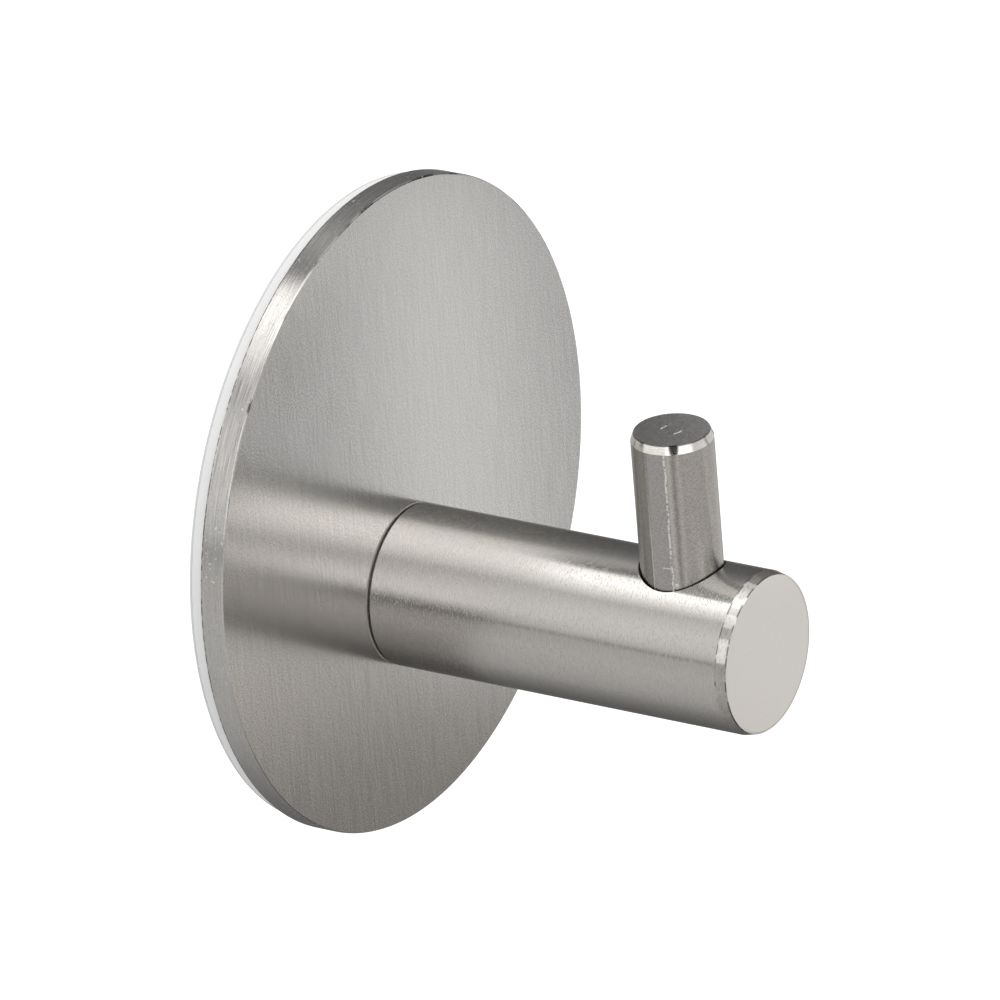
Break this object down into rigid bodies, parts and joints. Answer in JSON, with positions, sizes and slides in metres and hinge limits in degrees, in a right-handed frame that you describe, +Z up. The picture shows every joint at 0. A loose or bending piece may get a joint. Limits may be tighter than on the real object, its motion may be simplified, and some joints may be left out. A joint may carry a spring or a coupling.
{
  "type": "adhesive wall hook",
  "caption": "Round steel plate with an adhesive foam back, a round post standing out below its centre and an upright peg near the post's free end.",
  "frame": {"origin": "centre of the face that goes on the wall, on the outside of the release liner", "axes": "+Y points into the wall, so the post stands out along -Y; +Z is up and the peg points along it; +X is to the right as seen from the room"},
  "size_m": [0.0644, 0.044, 0.0644],
  "materials": {
    "plate_steel": "satin, straight vertical grain on the face, turned edge",
    "post_steel": "satin, fine rings round the bar, plain faced end",
    "peg_steel": "satin, polished bevel round the top",
    "screw_steel": "plain machined",
    "adhesive": "clear, tacky gloss",
    "foam": "fine closed-cell foam, matt",
    "liner_film": "milky film, smooth"
  },
  "bodies": {
    "root": {"base_plate": "plate_steel", "post": "post_steel", "peg": "peg_steel", "fixing_screw": "screw_steel", "plate_adhesive": "adhesive", "foam_core": "foam", "wall_adhesive": "adhesive", "release_liner": "liner_film"}
  },
  "joints": []
}
